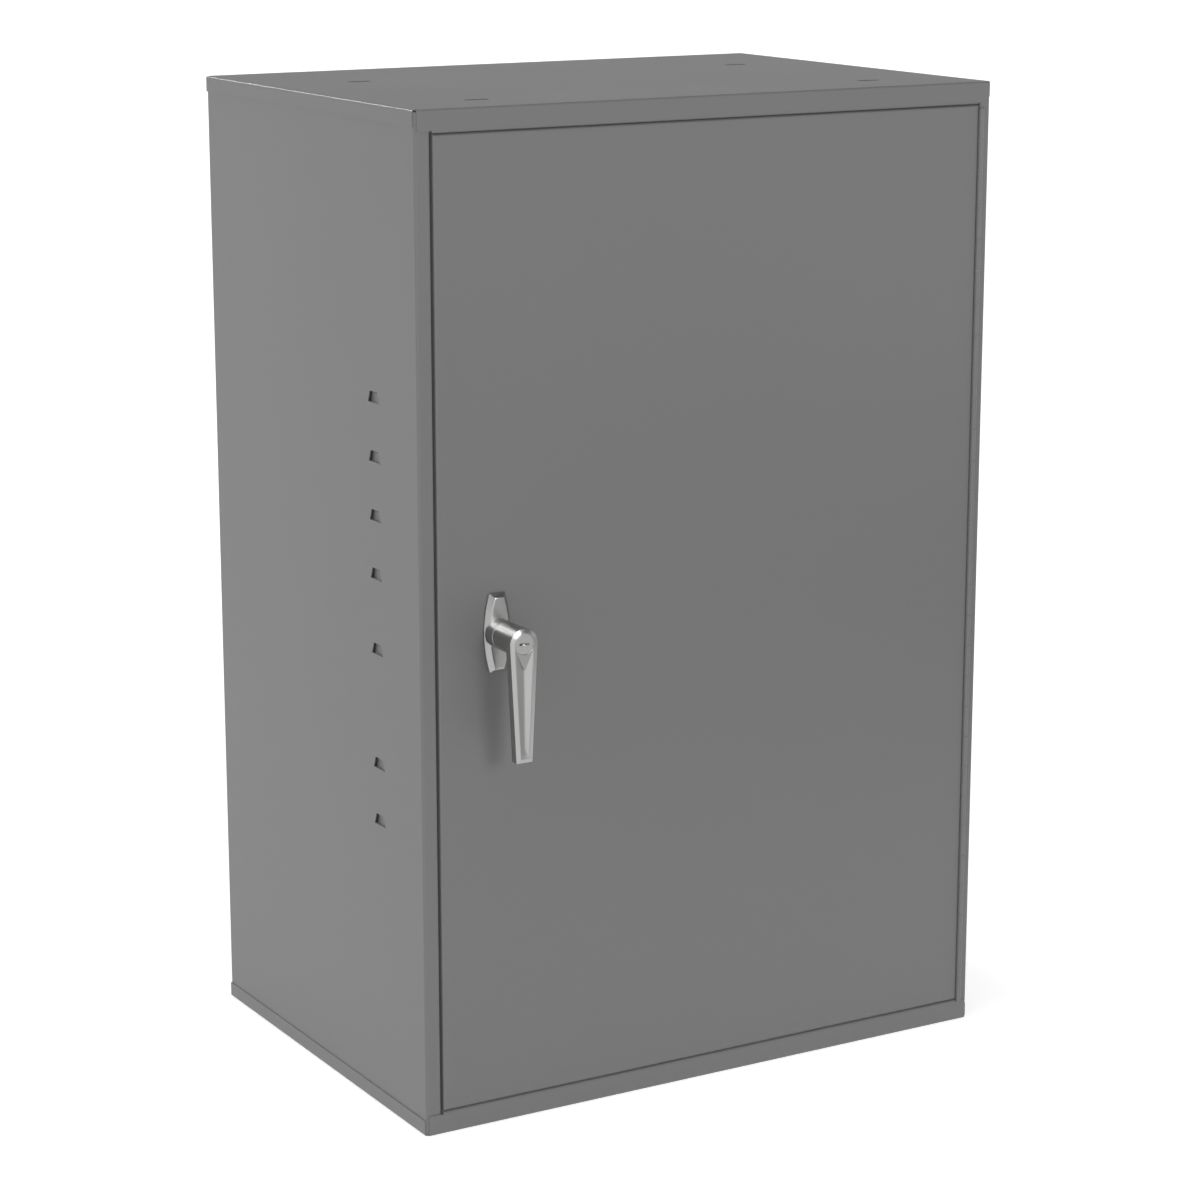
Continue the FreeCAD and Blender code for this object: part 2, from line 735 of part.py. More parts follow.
def lock_rod(side, tip_z):
    """A flat rod from its yoke on the crank pin to the tip; side is 1 for the upper rod, -1 for the lower."""
    x = handle_x - side * yoke_middle
    pin_z = handle_z + side * crank_lift
    half_head = yoke_half_length + rod_head_wall
    low, high = sorted((pin_z, tip_z))
    bar = box(x - rod_width / 2, x + rod_width / 2, rod_front_y, rod_back_y, low, high)
    head = slab(
        [(x - half_head, pin_z - rod_head_height / 2, rod_head_wall),
         (x + half_head, pin_z - rod_head_height / 2, rod_head_wall),
         (x + half_head, pin_z + rod_head_height / 2, rod_head_wall),
         (x - half_head, pin_z + rod_head_height / 2, rod_head_wall)], "xz", rod_front_y, rod_back_y)
    yoke = stadium(x, pin_z, yoke_half_length, yoke_half_height, rod_front_y - through, rod_back_y + through)
    return bar.fuse(head).cut(yoke)


def upper_lock_rod():
    return lock_rod(1, cabinet_height - pan_front_flange + rod_engagement)


def lower_lock_rod():
    return lock_rod(-1, pan_front_flange - rod_engagement)


def rod_guide(side, z):
    """An angle bracket on the door's skin with a slot that the rod slides through."""
    x = handle_x - side * yoke_middle
    half = guide_width / 2
    foot = box(x - half, x + half, door_inner_y, door_inner_y + guide_sheet, z, z + guide_foot)
    leg = box(x - half, x + half, door_inner_y, rod_back_y + guide_overhang, z, z + guide_sheet)
    slot = box(x - rod_width / 2 - guide_clearance, x + rod_width / 2 + guide_clearance,
               rod_front_y - guide_clearance, rod_back_y + guide_clearance, z - through, z + guide_sheet + through)
    return foot.fuse(leg).cut(slot)


def upper_rod_guides():
    levels = (handle_z + guide_from_handle, door_top - guide_from_end)
    return Part.makeCompound([rod_guide(1, z) for z in levels])


def lower_rod_guides():
    levels = (door_bottom + guide_from_end, handle_z - guide_from_handle)
    return Part.makeCompound([rod_guide(-1, z) for z in levels])


def shelf(tab_z):
    """A folded shelf whose plate rests on the tabs at that height, with its flanges notched round them."""
    under = tab_z + shelf_tab()[1].BoundBox.ZMax
    top = under + sheet
    across = folded_sheet(
        [(shelf_half_width, top - shelf_flange), (shelf_half_width, top), (-shelf_half_width, top),
         (-shelf_half_width, top - shelf_flange)],
        "xz", shelf_front_y + pan_corner_notch, shelf_back_y - pan_corner_notch)
    along = folded_sheet(
        [(shelf_back_y, top - shelf_flange), (shelf_back_y, top), (shelf_front_y, top),
         (shelf_front_y, top - shelf_front_flange)],
        "yz", -shelf_half_width + pan_corner_notch, shelf_half_width - pan_corner_notch)
    low = under - shelf_flange - through
    side_notches = [
        box(min(inward, outward), max(inward, outward), tab_y - shelf_notch_gap,
            tab_y + tab_base + shelf_notch_gap, low, under)
        for inward, outward in (
            (-inner_x + tab_reach + shelf_notch_gap, -inner_x), (inner_x - tab_reach - shelf_notch_gap, inner_x))]
    half_notch = tab_base / 2 + shelf_notch_gap
    rear_notches = [
        box(side * rear_tab_spacing / 2 - half_notch, side * rear_tab_spacing / 2 + half_notch,
            back_panel_y - tab_reach - shelf_notch_gap, back_panel_y, low, under) for side in (-1, 1)]
    return across.fuse(along).cut(side_notches + rear_notches)


def upper_shelf():
    return shelf(upper_group_height + tab_pitch * upper_shelf_step)


def lower_shelf():
    return shelf(lower_group_height + tab_pitch * lower_shelf_step)


SUB_PARTS = (
    left_side_panel, right_side_panel, back_panel, top_pan, bottom_pan,
    hinge_fixed_leaf, hinge_pin, door_stops, door_bumpers,
    door_panel, door_stiffener, hinge_door_leaf, handle_escutcheon, escutcheon_screws,
    upper_rod_guides, lower_rod_guides,
    handle_lever, lock_cylinder, handle_spindle, spindle_ring, latch_cam, cam_pins, cam_washer, cam_nut,
    lock_plug, upper_lock_rod, lower_lock_rod, upper_shelf, lower_shelf)

os.makedirs("parts", exist_ok=True)
for sub_part in SUB_PARTS:
    save(sub_part.__name__, sub_part())
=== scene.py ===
# %% [markdown]
# A steel storage cabinet, dressed for a product picture.
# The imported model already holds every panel, hinge leaf, rod and lock piece at its real size.
# Here each surface gets its finish, the cast and cut pieces get softened edges, the welds and
# rivets that hold the sheets together are added, and a plain studio is set around it all.
# Everything is in metres, +Z is up and the door faces -Y.

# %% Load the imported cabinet
import bpy
import json
import math
from mathutils import Matrix, Vector


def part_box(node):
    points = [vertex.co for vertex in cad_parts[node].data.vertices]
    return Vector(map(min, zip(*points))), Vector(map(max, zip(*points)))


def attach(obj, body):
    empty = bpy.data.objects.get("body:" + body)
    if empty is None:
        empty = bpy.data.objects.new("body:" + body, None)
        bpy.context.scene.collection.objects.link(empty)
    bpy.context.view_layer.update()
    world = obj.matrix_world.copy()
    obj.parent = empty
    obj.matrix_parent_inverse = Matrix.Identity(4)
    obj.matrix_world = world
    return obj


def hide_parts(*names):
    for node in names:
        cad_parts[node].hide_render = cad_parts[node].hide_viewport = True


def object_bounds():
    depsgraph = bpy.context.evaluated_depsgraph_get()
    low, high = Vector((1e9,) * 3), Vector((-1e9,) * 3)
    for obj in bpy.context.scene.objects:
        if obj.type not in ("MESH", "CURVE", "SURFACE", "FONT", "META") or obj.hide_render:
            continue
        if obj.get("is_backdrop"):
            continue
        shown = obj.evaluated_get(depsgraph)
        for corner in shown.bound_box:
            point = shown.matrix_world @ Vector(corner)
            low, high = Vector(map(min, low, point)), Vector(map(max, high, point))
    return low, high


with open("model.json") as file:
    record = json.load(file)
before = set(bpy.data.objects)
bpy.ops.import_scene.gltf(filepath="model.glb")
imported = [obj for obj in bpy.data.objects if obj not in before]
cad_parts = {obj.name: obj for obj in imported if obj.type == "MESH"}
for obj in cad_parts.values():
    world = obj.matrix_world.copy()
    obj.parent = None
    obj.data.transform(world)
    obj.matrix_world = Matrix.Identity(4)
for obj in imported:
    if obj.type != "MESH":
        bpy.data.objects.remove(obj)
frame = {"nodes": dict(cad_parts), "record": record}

MM = 0.001
nodes = frame["nodes"]
cad_low, cad_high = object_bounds()
print("cabinet box", [round(v, 4) for v in cad_high - cad_low])

# %% [markdown]
# Finishes are written as sRGB hex values, as a paint card gives them, and one function turns
# them to the linear values that the shader wants. One more function adds a shader node, sets
# its options and joins its sockets, so each finish below reads as a short list. The patterns
# are noise in the object's own coordinates, not pictures: those coordinates are metres, so a
# grain of half a millimetre is written as just that. A Mix node lists its sockets for numbers
# and vectors first, so its colour sockets are found by their number.

# %% Colour and node helpers
WHITE = (1, 1, 1, 1)
BLACK = (0, 0, 0, 1)
MIX_FROM = 6
MIX_TO = 7
MIX_RESULT = 2


def linear(hex_colour):
    """An sRGB hex colour as linear red, green, blue and alpha."""
    shares = [int(hex_colour[i:i + 2], 16) / 255 for i in (1, 3, 5)]
    return [s / 12.92 if s <= 0.04045 else ((s + 0.055) / 1.055) ** 2.4 for s in shares] + [1.0]


def add(tree, kind, inputs=None, **options):
    """Adds a node with its options; an input is a value, or another node's output socket."""
    made = tree.nodes.new(kind)
    for name, value in options.items():
        setattr(made, name, value)
    for name, value in (inputs or {}).items():
        if isinstance(value, bpy.types.NodeSocket):
            tree.links.new(value, made.inputs[name])
        else:
            made.inputs[name].default_value = value
    return made


def new_finish(name):
    """A material, its node tree and its Principled shader."""
    finish = bpy.data.materials.new(name)
    finish.use_nodes = True
    tree = finish.node_tree
    return finish, tree, tree.nodes["Principled BSDF"]


print("mid grey is", round(linear("#808080")[0], 3), "as a linear value")

# %% [markdown]
# Powder coat is a polyester dust baked onto the folded steel. It flows out into a satin skin
# with a faint orange peel, a ripple of two or three millimetres that breaks up reflections.
# The ripple is far too shallow to model, so it is a bump. A much wider noise lets the tone and
# the gloss drift a little, as no sprayed panel is perfectly even.

# %% Satin grey powder coat
PEEL_WIDTH = 2.6 * MM
PEEL_HEIGHT = 0.02 * MM
PEEL_STRENGTH = 0.35
DRIFT_WIDTH = 260 * MM
COAT_TONES = ("#686869", "#6a6a6a")
COAT_ROUGHNESS = (0.38, 0.44)

powder_coat, tree, shader = new_finish("satin_grey_powder_coat")
place = add(tree, "ShaderNodeTexCoord").outputs["Object"]
peel = add(tree, "ShaderNodeTexNoise", {"Vector": place, "Scale": 1 / PEEL_WIDTH}).outputs["Fac"]
drift = add(tree, "ShaderNodeTexNoise", {"Vector": place, "Scale": 1 / DRIFT_WIDTH}).outputs["Fac"]
tone = add(
    tree, "ShaderNodeMix",
    {"Factor": drift, MIX_FROM: linear(COAT_TONES[0]), MIX_TO: linear(COAT_TONES[1])}, data_type="RGBA")
gloss = add(
    tree, "ShaderNodeMapRange",
    {"Value": drift, "To Min": COAT_ROUGHNESS[0], "To Max": COAT_ROUGHNESS[1]})
bump = add(
    tree, "ShaderNodeBump",
    {"Height": peel, "Strength": PEEL_STRENGTH, "Distance": PEEL_HEIGHT})
tree.links.new(tone.outputs[MIX_RESULT], shader.inputs["Base Color"])
tree.links.new(gloss.outputs["Result"], shader.inputs["Roughness"])
tree.links.new(bump.outputs["Normal"], shader.inputs["Normal"])
print("finish", powder_coat.name)

# %% [markdown]
# The handle is cast in zinc alloy, blasted fine and chromed, so it is a bright metal with a
# soft, slightly grainy gloss. One fine noise stands for the blasted grain: it drives both the
# roughness and a very low bump, because a pit in the casting is rough as well as deep.

# %% Satin chrome on cast zinc
BLAST_WIDTH = 0.5 * MM
BLAST_DEPTH = 0.01 * MM
BLAST_STRENGTH = 0.1
CHROME_TONE = "#a7a7a6"
CHROME_ROUGHNESS = (0.27, 0.33)

satin_chrome, tree, shader = new_finish("satin_chrome_on_cast_zinc")
place = add(tree, "ShaderNodeTexCoord").outputs["Object"]
grain = add(
    tree, "ShaderNodeTexNoise",
    {"Vector": place, "Scale": 1 / BLAST_WIDTH, "Detail": 3.0}).outputs["Fac"]
gloss = add(
    tree, "ShaderNodeMapRange",
    {"Value": grain, "To Min": CHROME_ROUGHNESS[0], "To Max": CHROME_ROUGHNESS[1]})
bump = add(
    tree, "ShaderNodeBump",
    {"Height": grain, "Strength": BLAST_STRENGTH, "Distance": BLAST_DEPTH})
shader.inputs["Base Color"].default_value = linear(CHROME_TONE)
shader.inputs["Metallic"].default_value = 1.0
tree.links.new(gloss.outputs["Result"], shader.inputs["Roughness"])
tree.links.new(bump.outputs["Normal"], shader.inputs["Normal"])
print("finish", satin_chrome.name)

# %% [markdown]
# Rods, cam, guides and fasteners are zinc plated. The plate is a pale grey with cloudy patches,
# cool in one place and warmer in the next, where the bath left it thicker. A noise about a
# centimetre wide mixes the two tones, and the gloss follows the same clouds.

# %% Bright zinc plate
CLOUD_WIDTH = 9 * MM
ZINC_TONES = ("#a9aeb4", "#c8c6bc")
ZINC_ROUGHNESS = (0.28, 0.46)

zinc_plate, tree, shader = new_finish("bright_zinc_plate")
place = add(tree, "ShaderNodeTexCoord").outputs["Object"]
cloud = add(
    tree, "ShaderNodeTexNoise",
    {"Vector": place, "Scale": 1 / CLOUD_WIDTH, "Detail": 4.0}).outputs["Fac"]
tone = add(
    tree, "ShaderNodeMix",
    {"Factor": cloud, MIX_FROM: linear(ZINC_TONES[0]), MIX_TO: linear(ZINC_TONES[1])}, data_type="RGBA")
gloss = add(
    tree, "ShaderNodeMapRange",
    {"Value": cloud, "To Min": ZINC_ROUGHNESS[0], "To Max": ZINC_ROUGHNESS[1]})
shader.inputs["Metallic"].default_value = 1.0
tree.links.new(tone.outputs[MIX_RESULT], shader.inputs["Base Color"])
tree.links.new(gloss.outputs["Result"], shader.inputs["Roughness"])
print("finish", zinc_plate.name)

# %% [markdown]
# The key plug is turned brass under a nickel plate, a grey metal with fine marks from the
# tool. They are too fine to be seen as lines, so a noise as fine as the tool's feed is enough
# to make the gloss uneven.

# %% Nickel-plated brass
TURNING_FEED = 0.35 * MM
NICKEL_TONE = "#b6b6b5"
NICKEL_ROUGHNESS = (0.24, 0.36)

nickel_brass, tree, shader = new_finish("nickel_plated_brass")
place = add(tree, "ShaderNodeTexCoord").outputs["Object"]
grain = add(tree, "ShaderNodeTexNoise", {"Vector": place, "Scale": 1 / TURNING_FEED}).outputs["Fac"]
gloss = add(
    tree, "ShaderNodeMapRange",
    {"Value": grain, "To Min": NICKEL_ROUGHNESS[0], "To Max": NICKEL_ROUGHNESS[1]})
shader.inputs["Base Color"].default_value = linear(NICKEL_TONE)
shader.inputs["Metallic"].default_value = 1.0
tree.links.new(gloss.outputs["Result"], shader.inputs["Roughness"])
print("finish", nickel_brass.name)

# %% [markdown]
# Inside the keyway sits a scrap of polished steel, the one mirror-like piece. It is a few
# millimetres wide and hardly seen, so even values on the shader are all it needs.

# %% Polished steel
STEEL_TONE = "#f2f2f0"
STEEL_ROUGHNESS = 0.16

polished_steel, tree, shader = new_finish("polished_steel")
shader.inputs["Base Color"].default_value = linear(STEEL_TONE)
shader.inputs["Metallic"].default_value = 1.0
shader.inputs["Roughness"].default_value = STEEL_ROUGHNESS
print("finish", polished_steel.name)

# %% [markdown]
# The door closes on two small pads of moulded black rubber. Rubber is dull and takes the grain
# of its mould, so one noise gives both an uneven gloss and a low bump.

# %% Black moulded rubber
RUBBER_GRAIN = 0.8 * MM
RUBBER_GRAIN_DEPTH = 0.05 * MM
RUBBER_GRAIN_STRENGTH = 0.3
RUBBER_TONE = "#1d1d1e"
RUBBER_ROUGHNESS = (0.6, 0.8)

black_rubber, tree, shader = new_finish("black_moulded_rubber")
place = add(tree, "ShaderNodeTexCoord").outputs["Object"]
grain = add(
    tree, "ShaderNodeTexNoise",
    {"Vector": place, "Scale": 1 / RUBBER_GRAIN, "Detail": 3.0}).outputs["Fac"]
gloss = add(
    tree, "ShaderNodeMapRange",
    {"Value": grain, "To Min": RUBBER_ROUGHNESS[0], "To Max": RUBBER_ROUGHNESS[1]})
bump = add(
    tree, "ShaderNodeBump",
    {"Height": grain, "Strength": RUBBER_GRAIN_STRENGTH, "Distance": RUBBER_GRAIN_DEPTH})
shader.inputs["Base Color"].default_value = linear(RUBBER_TONE)
tree.links.new(gloss.outputs["Result"], shader.inputs["Roughness"])
tree.links.new(bump.outputs["Normal"], shader.inputs["Normal"])
print("finish", black_rubber.name)

# %% [markdown]
# The record names a material slot for every piece, so one small table gives each slot its
# finish, and no piece has to be named here. Two more tables, the slot and the body of each
# piece, come from the record and serve the pieces that are added later too.

# %% Give every piece its finish
FINISHES = {
    "painted_steel": powder_coat,
    "zinc_plated_steel": zinc_plate,
    "satin_chrome": satin_chrome,
    "plated_brass": nickel_brass,
    "bumper_rubber": black_rubber,
}
slot_of = {entry["node"]: entry["material_slot"] for entry in frame["record"]["subparts"]}
body_of = {node: body for body, held in frame["record"]["behaviour"]["bodies"].items() for node in held}
for node, slot in slot_of.items():
    nodes[node].data.materials.clear()
    nodes[node].data.materials.append(FINISHES[slot])
print("dressed", len(slot_of), "pieces")

# %% [markdown]
# The shelf tabs are pressed into narrow windows of the sides and the back. Shade gathers in
# those recesses, and here it is painted into the colour: a copy of the coat takes a darker tone
# wherever a panel lies deeper than its sheet is thick, and on the sides only near the column of
# tabs, because their front and rear folds lie deeper too. The tabs are found by their place, so
# the imported panels keep their meshes as they are.

# %% Painted shade on the pressed tabs
WINDOW_DEPTH = 1.0 * MM
SIDE_TABS_FROM_FRONT = 70 * MM
SIDE_TABS_REACH = 14 * MM
BACK_TABS_REACH = 2 * MM
# The darker tone is painted shade for the recessed tabs.
PAINTED_SHADE_TONE = "#565656"

side_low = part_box("left_side_panel")[0]
back_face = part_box("back_panel")[1].y


def paint_shade_on_tabs(name, middle, reach):
    """A copy of the powder coat with shade painted darker inside the windows, within the reach of that y."""
    coat = powder_coat.copy()
    coat.name = name
    tree = coat.node_tree
    shader = tree.nodes["Principled BSDF"]
    full_tone = shader.inputs["Base Color"].links[0].from_socket
    place = add(tree, "ShaderNodeTexCoord").outputs["Object"]
    spot = add(tree, "ShaderNodeSeparateXYZ", {"Vector": place}).outputs
    across = add(tree, "ShaderNodeMath", {0: spot["X"]}, operation="ABSOLUTE").outputs[0]
    window = -side_low.x - WINDOW_DEPTH
    inside = add(tree, "ShaderNodeMath", {0: across, 1: window}, operation="LESS_THAN").outputs[0]
    beside = add(tree, "ShaderNodeMath", {0: spot["Y"], 1: middle, 2: reach}, operation="COMPARE").outputs[0]
    # Painted shade: this mask is one deep in a window near the tabs and nothing elsewhere.
    painted_shade = add(tree, "ShaderNodeMath", {0: inside, 1: beside}, operation="MULTIPLY").outputs[0]
    tone = add(
        tree, "ShaderNodeMix",
        {"Factor": painted_shade, MIX_FROM: full_tone, MIX_TO: linear(PAINTED_SHADE_TONE)}, data_type="RGBA")
    tree.links.new(tone.outputs[MIX_RESULT], shader.inputs["Base Color"])
    return coat


side_coat = paint_shade_on_tabs(
    "satin_grey_powder_coat_on_sides", side_low.y + SIDE_TABS_FROM_FRONT, SIDE_TABS_REACH)
back_coat = paint_shade_on_tabs(
    "satin_grey_powder_coat_on_back", back_face - WINDOW_DEPTH - BACK_TABS_REACH, BACK_TABS_REACH)
TABBED_PANELS = {"left_side_panel": side_coat, "right_side_panel": side_coat, "back_panel": back_coat}
# The tabbed panels take the coat with the painted shade in their windows.
for node, coat in TABBED_PANELS.items():
    nodes[node].data.materials[0] = coat
    print("painted shade on the tabs of", node)

# %% [markdown]
# Cast, sawn and moulded pieces never have knife edges: blasting, tumbling or the mould rolls
# them over by a few tenths of a millimetre, and that thin rounding is what catches the light.
# Three lines of the handle are rounded more: the rim of the plate's face, the front edge of the
# collar, and the bottom of the trough in the lever, which is a soft hollow more than a sharp V.
# They are found by their place: each test below takes the two ends of an edge.

# %% Find the wide roundings of the handle
PLATE_THICKNESS = 5.2 * MM
COLLAR_RADIUS = 11.0 * MM
COLLAR_OUT = 14.0 * MM
TROUGH_DEPTH = 1.6 * MM
ON_PLANE = 0.02 * MM

plug_low, plug_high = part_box("lock_plug")
turning_axis = (plug_low + plug_high) / 2
door_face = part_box("door_panel")[0].y
lever_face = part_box("handle_lever")[0].y


def from_axis(point):
    """Distance of a point from the line that the handle turns on."""
    return math.hypot(point.x - turning_axis.x, point.z - turning_axis.z)


def at_depth(start, end, y):
    """Whether both ends of an edge lie on that upright plane."""
    return max(abs(start.y - y), abs(end.y - y)) < ON_PLANE


def plate_rim(start, end):
    """The rim of the plate's face, but not the ring where the collar stands on it."""
    beyond_collar = from_axis((start + end) / 2) > COLLAR_RADIUS
    return beyond_collar and at_depth(start, end, door_face - PLATE_THICKNESS)


def collar_edge(start, end):
    """The ring at the front of the collar."""
    on_ring = min(from_axis(start), from_axis(end)) > COLLAR_RADIUS - ON_PLANE
    return on_ring and at_depth(start, end, door_face - COLLAR_OUT)


def trough_bottom(start, end):
    """The deepest line of the lever's trough."""
    on_middle = max(abs(start.x - turning_axis.x), abs(end.x - turning_axis.x)) < ON_PLANE
    return on_middle and at_depth(start, end, lever_face + TROUGH_DEPTH)


WIDE_ROLLS = {
    "handle_escutcheon": ((plate_rim, 0.8 * MM), (collar_edge, 0.7 * MM)),
    "handle_lever": ((trough_bottom, 2.4 * MM),),
}
print("the handle turns on x, z =", round(turning_axis.x, 4), round(turning_axis.z, 4))

# %% [markdown]
# To roll a line of the handle, its edges are selected and bevelled in edit mode, as they would
# be by hand. The two sides of the lever's trough come in many facets: joining those first leaves
# one clean edge between the two sides, and that edge can be rolled in one go.

# %% Tools that roll chosen edges
SLOPE_LEAN = 0.15
FACES_FRONT = 0.85
WIDE_ROLL_STEPS = 5


def pick(piece):
    """Makes this the only selected object, so that operators act on it alone."""
    bpy.ops.object.select_all(action="DESELECT")
    piece.select_set(True)
    bpy.context.view_layer.objects.active = piece


def clear_selection(kind):
    """Unselects all of a mesh, so that faces or edges can be selected in code."""
    bpy.ops.object.mode_set(mode="EDIT")
    bpy.ops.mesh.select_mode(type=kind)
    bpy.ops.mesh.select_all(action="DESELECT")
    bpy.ops.object.mode_set(mode="OBJECT")


def join_slopes(piece):
    """Joins the facets on each side of the lever's trough, which leaves one edge between the two."""
    for side in (-1, 1):
        clear_selection("FACE")
        for face in piece.data.polygons:
            on_side = side * (face.center.x - turning_axis.x) > 0
            leans_in = side * face.normal.x < -SLOPE_LEAN
            face.select = on_side and leans_in and face.normal.y < -FACES_FRONT
        bpy.ops.object.mode_set(mode="EDIT")
        bpy.ops.mesh.dissolve_faces()
        bpy.ops.object.mode_set(mode="OBJECT")


def roll_lines(piece, wanted, width):
    """Rolls over the edges of a piece whose two ends pass the test."""
    clear_selection("EDGE")
    points = [vertex.co for vertex in piece.data.vertices]
    for edge in piece.data.edges:
        start, end = (points[index] for index in edge.vertices)
        edge.select = wanted(start, end)
    picked = sum(edge.select for edge in piece.data.edges)
    bpy.ops.object.mode_set(mode="EDIT")
    bpy.ops.mesh.bevel(offset=width, segments=WIDE_ROLL_STEPS)
    bpy.ops.object.mode_set(mode="OBJECT")
    print("rolled", wanted.__name__, picked, "edges")


print("a wide rounding has", WIDE_ROLL_STEPS, "steps")

# %% [markdown]
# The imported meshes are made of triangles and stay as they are, so each piece is softened as a
# copy. The copy is merged, its flat faces are joined again, its wide roundings are rolled, and a
# bevel that only takes sharp edges rolls the rest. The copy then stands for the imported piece.

# %% Soften a copy of one piece
MERGE_WITHIN = 0.002 * MM
FLAT_WITHIN = math.radians(0.5)
ROLL_STEPS = 2
ROLL_FROM = math.radians(28)
SMOOTH_UP_TO = math.radians(12)


def roll_edges(node, width):
    """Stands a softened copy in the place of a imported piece."""
    piece = nodes[node].copy()
    piece.data = nodes[node].data.copy()
    piece.name = node + "_softened"
    bpy.context.scene.collection.objects.link(piece)
    piece.parent = None
    piece.matrix_world = Matrix.Identity(4)
    pick(piece)
    bpy.ops.object.mode_set(mode="EDIT")
    bpy.ops.mesh.select_all(action="SELECT")
    bpy.ops.mesh.remove_doubles(threshold=MERGE_WITHIN)
    bpy.ops.mesh.dissolve_limited(angle_limit=FLAT_WITHIN)
    bpy.ops.object.mode_set(mode="OBJECT")
    if node == "handle_lever":
        join_slopes(piece)
    for wanted, wide in WIDE_ROLLS.get(node, ()):
        roll_lines(piece, wanted, wide)
    rolled = piece.modifiers.new("rolled_edges", "BEVEL")
    rolled.width = width
    rolled.segments = ROLL_STEPS
    rolled.limit_method = "ANGLE"
    rolled.angle_limit = ROLL_FROM
    bpy.ops.object.modifier_apply(modifier=rolled.name)
    bpy.ops.object.shade_smooth_by_angle(angle=SMOOTH_UP_TO)
    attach(piece, body_of[node])
    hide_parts(node)
    return piece


print("edges are rolled from", round(math.degrees(ROLL_FROM)), "degrees up")

# %% [markdown]
# How far an edge is rolled depends on how its piece is made: a nut or a rubber pad is blunt, a
# bent guide is crisper, and the narrow bevels of the cast lever only lose their burr.

# %% Roll the edges of the cast, sawn and moulded pieces
ROLLED_EDGES = {
    "handle_lever": 0.14 * MM,
    "handle_escutcheon": 0.35 * MM,
    "lock_plug": 0.22 * MM,
    "latch_cam": 0.3 * MM,
    "cam_nut": 0.4 * MM,
    "upper_lock_rod": 0.3 * MM,
    "lower_lock_rod": 0.3 * MM,
    "upper_rod_guides": 0.2 * MM,
    "lower_rod_guides": 0.2 * MM,
    "door_bumpers": 0.4 * MM,
}
for node, width in ROLLED_EDGES.items():
    softened = roll_edges(node, width)
    print("softened", softened.name, len(softened.data.polygons), "faces")

# %% [markdown]
# Sheets are held together from behind. The guides are riveted through their feet, and spot
# welds pin the stiffener to the door and the back to the side flanges: each leaves a low round
# print with a softened rim. Both are one turned stud, a disc that is drawn up and in twice. It
# is modelled once for each size and copied, each copy with a mesh of its own, and the copies on
# one piece are joined, because they never move apart.

# %% A turned stud and its copies
STUD_SIDES = 20
STUD_SHOULDER = 0.86
STUD_SMOOTH_UP_TO = math.radians(60)
FACES_UP = 0.9


def stud(name, radius, height, crown):
    """A round stud on the plane y = 0 that faces +Y, its top drawn in to a share of its shoulder."""
    bpy.ops.object.select_all(action="DESELECT")
    bpy.ops.mesh.primitive_cylinder_add(vertices=STUD_SIDES, radius=radius, depth=height / 2)
    master = bpy.context.object
    master.name = name
    clear_selection("FACE")
    for face in master.data.polygons:
        face.select = face.normal.z > FACES_UP
    bpy.ops.object.mode_set(mode="EDIT")
    for share in (STUD_SHOULDER, crown):
        bpy.ops.mesh.extrude_region_move(TRANSFORM_OT_translate={"value": (0, 0, height / 4)})
        bpy.ops.transform.resize(value=(share, share, 1))
    bpy.ops.object.mode_set(mode="OBJECT")
    bpy.ops.object.shade_smooth_by_angle(angle=STUD_SMOOTH_UP_TO)
    seated = Matrix.Translation((0, 0, height / 4))
    master.data.transform(Matrix.Rotation(math.radians(-90), 4, "X") @ seated)
    return master


def set_studs(name, master, places, node):
    """Copies of the stud, joined to one piece that rides with the node and has its finish."""
    copies = []
    for place in places:
        copy = master.copy()
        copy.data = master.data.copy()
        copy.data.transform(Matrix.Translation(place))
        bpy.context.scene.collection.objects.link(copy)
        copies.append(copy)
    pick(copies[0])
    for copy in copies:
        copy.select_set(True)
    bpy.ops.object.join()
    piece = bpy.context.object
    piece.name = name
    piece.data.materials.clear()
    piece.data.materials.append(FINISHES[slot_of[node]])
    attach(piece, body_of[node])
    print(name, len(places), "studs")


print("a stud has", STUD_SIDES, "sides")

# %% [markdown]
# Each guide is an angle bracket whose foot lies flat on the door. Two rivets hold a foot, one on
# each side of the rod, and their heads stand on the foot's inner face.

# %% Rivets through the feet of the guides
RIVET_RADIUS = 2.6 * MM
RIVET_HEIGHT = 1.2 * MM
RIVET_CROWN = 0.5
GUIDE_SHEET = 1.5 * MM
RIVET_FROM_ROD = 8.5 * MM
RIVET_FROM_LOWER_END = 10 * MM
RIVET_FROM_UPPER_END = 8 * MM

rivet = stud("rivet", RIVET_RADIUS, RIVET_HEIGHT, RIVET_CROWN)
for node in ("upper_rod_guides", "lower_rod_guides"):
    low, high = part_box(node)
    middle = (low.x + high.x) / 2
    heights = (low.z + RIVET_FROM_LOWER_END, high.z - RIVET_FROM_UPPER_END)
    places = [
        Vector((middle + side * RIVET_FROM_ROD, low.y + GUIDE_SHEET, z))
        for side in (-1, 1) for z in heights]
    set_studs(node + "_rivets", rivet, places, node)
bpy.data.objects.remove(rivet)

# %% [markdown]
# A spot welder is stepped along a seam at even spaces. The stiffener has a row of prints on each
# foot, and the back has a row near each side edge, where it is welded to the side's rear flange.

# %% Weld prints on the stiffener and the back
WELD_RADIUS = 3.2 * MM
WELD_HEIGHT = 0.16 * MM
WELD_CROWN = 0.8
SHEET = 0.9 * MM
STIFFENER_EDGE_TO_WELD = 6 * MM
STIFFENER_WELDS = 9
BACK_EDGE_TO_WELD = 6.5 * MM
BACK_WELDS = 10


def weld_rows(low, high, y, edge_to_weld, count):
    """Even places in two upright rows, one near each side edge of that box."""
    return [
        Vector((x, y, low.z + (high.z - low.z) * (step + 0.5) / count))
        for x in (low.x + edge_to_weld, high.x - edge_to_weld) for step in range(count)]


